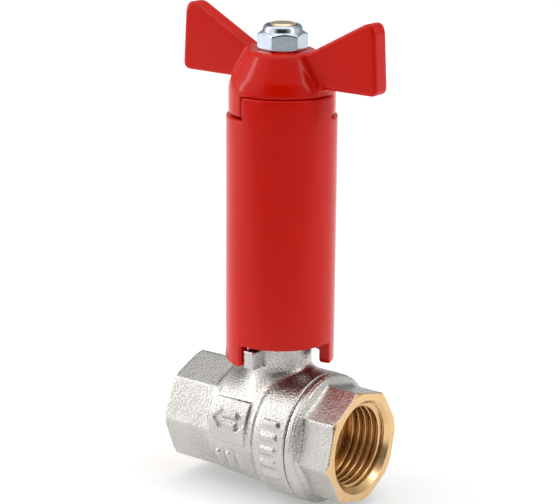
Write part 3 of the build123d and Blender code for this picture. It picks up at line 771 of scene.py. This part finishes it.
def nut_field(x, y, z):
    """Hexagon with turned corners, a collar rounded over, less hole and recess."""
    from_stem = np.hypot(x, y)
    above = z - NUT_BASE
    hexagon = polygon_bar(x, y, 6, NUT_FLATS, 0.12, NUT_TURN)
    crown_cut = (from_stem - 5.1) * 0.5 + (above - 3.9) * 0.87
    base_cut = (from_stem - 5.25) * 0.5 - above * 0.87
    hexagon = blend_max(hexagon, blend_max(crown_cut, base_cut, 0.1), 0.25)
    hexagon = np.maximum(hexagon, -above)
    collar = blend_max(from_stem - COLLAR_R, above - COLLAR_TOP, 1.5)
    collar = np.maximum(collar, 2.0 - above)
    shape = blend_min(hexagon, collar, 0.5)
    shape = blend_max(shape, -np.maximum(from_stem - RECESS_R, RECESS_LOW - above), 0.2)
    return np.maximum(shape, NUT_HOLE_R - from_stem)


zinc_nut = skin("zinc_nut", nut_field, (-6.2, -6.2, 89.5), (6.2, 6.2, 96.3), 0.14)
dress(zinc_nut, plated_steel("bright_zinc", (0.60, 0.67, 0.76), 0.13, 1500), "handle",
      "lock_nut")


def satin_nylon(name):
    """Dark nylon ring with a dull moulded surface."""
    material, tree, shader = finish_of(name, (0.03, 0.03, 0.04), 0.0, 0.5)
    mottle = grain(tree, place(tree), 1800, 2.0)
    color = tint(tree, mottle, (0.022, 0.022, 0.03), (0.045, 0.045, 0.06))
    tree.links.new(color, shader.inputs["Base Color"])
    tree.links.new(raise_by(tree, mottle, 0.00001, 0.4), shader.inputs["Normal"])
    return material


recoat(["nut_insert"], satin_nylon("satin_nylon"))


# ---- Floor, light and camera -----------------------------------------------------------------
# A pale floor under a light tent that is open, and so darker, on the camera's side, with a soft box
# on either hand.
# The floor's colour is painted darker towards the camera as painted shade, and near the valve the
# floor glows as painted light, though it is no lamp.
CAMERA_AZIMUTH = math.radians(36.9)
CAMERA_PITCH = math.radians(15.92)
CAMERA_ROLL = math.radians(0.51)
CAMERA_DISTANCE = 0.4694
AIM = np.array((-0.00014, -0.0001, 0.0579))
SENSOR = 36.0
LENS = 130.5

toward_camera = np.array((
    math.sin(CAMERA_AZIMUTH) * math.cos(CAMERA_PITCH),
    -math.cos(CAMERA_AZIMUTH) * math.cos(CAMERA_PITCH),
    math.sin(CAMERA_PITCH),
))

bpy.ops.mesh.primitive_plane_add(size=8.0, location=(0, 0, -0.0002))
floor = bpy.context.object
floor.name = "floor"
floor_material, floor_tree, floor_shader = finish_of("pale_floor", (0.9, 0.9, 0.9), 0.0, 0.8)
floor_shader.inputs["Specular IOR Level"].default_value = 0.1
along_floor = floor_tree.nodes.new("ShaderNodeVectorMath")
along_floor.operation = "DOT_PRODUCT"
along_floor.inputs[1].default_value = (math.sin(CAMERA_AZIMUTH), -math.cos(CAMERA_AZIMUTH), 0)
floor_place = floor_tree.nodes.new("ShaderNodeTexCoord")
floor_tree.links.new(floor_place.outputs["Object"], along_floor.inputs[0])
shade_from, shade_to = 0.08, 0.20               # metres from the valve towards the camera
# Painted shade: the floor's colour falls from pale to a darker grey towards the camera.
pale_floor_tone_and_painted_shade = spread(floor_tree, along_floor.outputs["Value"], 0.92, 0.60, shade_from, shade_to)
floor_tree.links.new(pale_floor_tone_and_painted_shade, floor_shader.inputs["Base Color"])
# Painted light: the floor glows white near the valve and fades out towards the camera, though it is
# no lamp.
floor_shader.inputs["Emission Color"].default_value = (1, 1, 1, 1)
painted_floor_glow = spread(floor_tree, along_floor.outputs["Value"], 0.22, 0.0, shade_from, shade_to)
floor_tree.links.new(painted_floor_glow, floor_shader.inputs["Emission Strength"])
floor.data.materials.append(floor_material)


def studio_dir(azimuth, pitch):
    """Unit vector at an azimuth counted from the camera's, and a pitch above the floor."""
    azimuth = CAMERA_AZIMUTH + math.radians(azimuth)
    pitch = math.radians(pitch)
    return (math.sin(azimuth) * math.cos(pitch), -math.cos(azimuth) * math.cos(pitch),
            math.sin(pitch))


def light_tent(base, lobes):
    """World light: an even base, plus soft round patches given as direction, the cosines where
    each begins and is full, and its strength."""
    world = bpy.data.worlds.new("light_tent")
    bpy.context.scene.world = world
    world.use_nodes = True
    tree = world.node_tree
    coordinate = tree.nodes.new("ShaderNodeTexCoord")
    total = None
    for direction, start, full, strength in lobes:
        dot = tree.nodes.new("ShaderNodeVectorMath")
        dot.operation = "DOT_PRODUCT"
        dot.inputs[1].default_value = direction
        tree.links.new(coordinate.outputs["Generated"], dot.inputs[0])
        ranged = tree.nodes.new("ShaderNodeMapRange")
        ranged.interpolation_type = "SMOOTHSTEP"
        ranged.inputs["From Min"].default_value = start
        ranged.inputs["From Max"].default_value = full
        ranged.inputs["To Max"].default_value = strength
        tree.links.new(dot.outputs["Value"], ranged.inputs["Value"])
        add = tree.nodes.new("ShaderNodeMath")
        add.inputs[0].default_value = base
        if total is not None:
            tree.links.new(total, add.inputs[0])
        tree.links.new(ranged.outputs["Result"], add.inputs[1])
        total = add.outputs["Value"]
    tree.nodes["Background"].inputs["Color"].default_value = (1, 1, 1, 1)
    tree.links.new(total, tree.nodes["Background"].inputs["Strength"])


def soft_box(name, azimuth, pitch, distance, size, power):
    """A rectangular area light aimed at the valve."""
    light = bpy.data.lights.new(name, "AREA")
    light.shape = "RECTANGLE"
    light.size, light.size_y = size
    light.energy = power
    lamp = bpy.data.objects.new(name, light)
    bpy.context.scene.collection.objects.link(lamp)
    lamp.location = AIM + distance * np.array(studio_dir(azimuth, pitch))
    lamp.rotation_euler = (math.pi / 2 - math.radians(pitch), 0,
                           CAMERA_AZIMUTH + math.radians(azimuth))


light_tent(0.36, [
    (studio_dir(0, 90), 0.62, 1.0, 1.25),
    (studio_dir(-85, 18), 0.62, 0.95, 0.85),
    (studio_dir(72, 20), 0.60, 0.97, 0.45),
    (studio_dir(0, 25), 0.50, 0.90, -0.32),
])
soft_box("left_box", -98, 22, 0.7, (0.12, 0.5), 0.9)
soft_box("right_box", 62, 32, 0.7, (0.10, 0.4), 0.7)

camera_data = bpy.data.cameras.new("camera")
camera_data.sensor_width = SENSOR
camera_data.lens = LENS
camera_data.clip_end = 20
camera = bpy.data.objects.new("camera", camera_data)
bpy.context.scene.collection.objects.link(camera)
camera.location = AIM + CAMERA_DISTANCE * toward_camera
camera.rotation_euler = (math.pi / 2 - CAMERA_PITCH, 0, CAMERA_AZIMUTH)
camera.rotation_euler.rotate_axis("Z", CAMERA_ROLL)
bpy.context.scene.camera = camera
bpy.context.scene.view_settings.view_transform = "Standard"
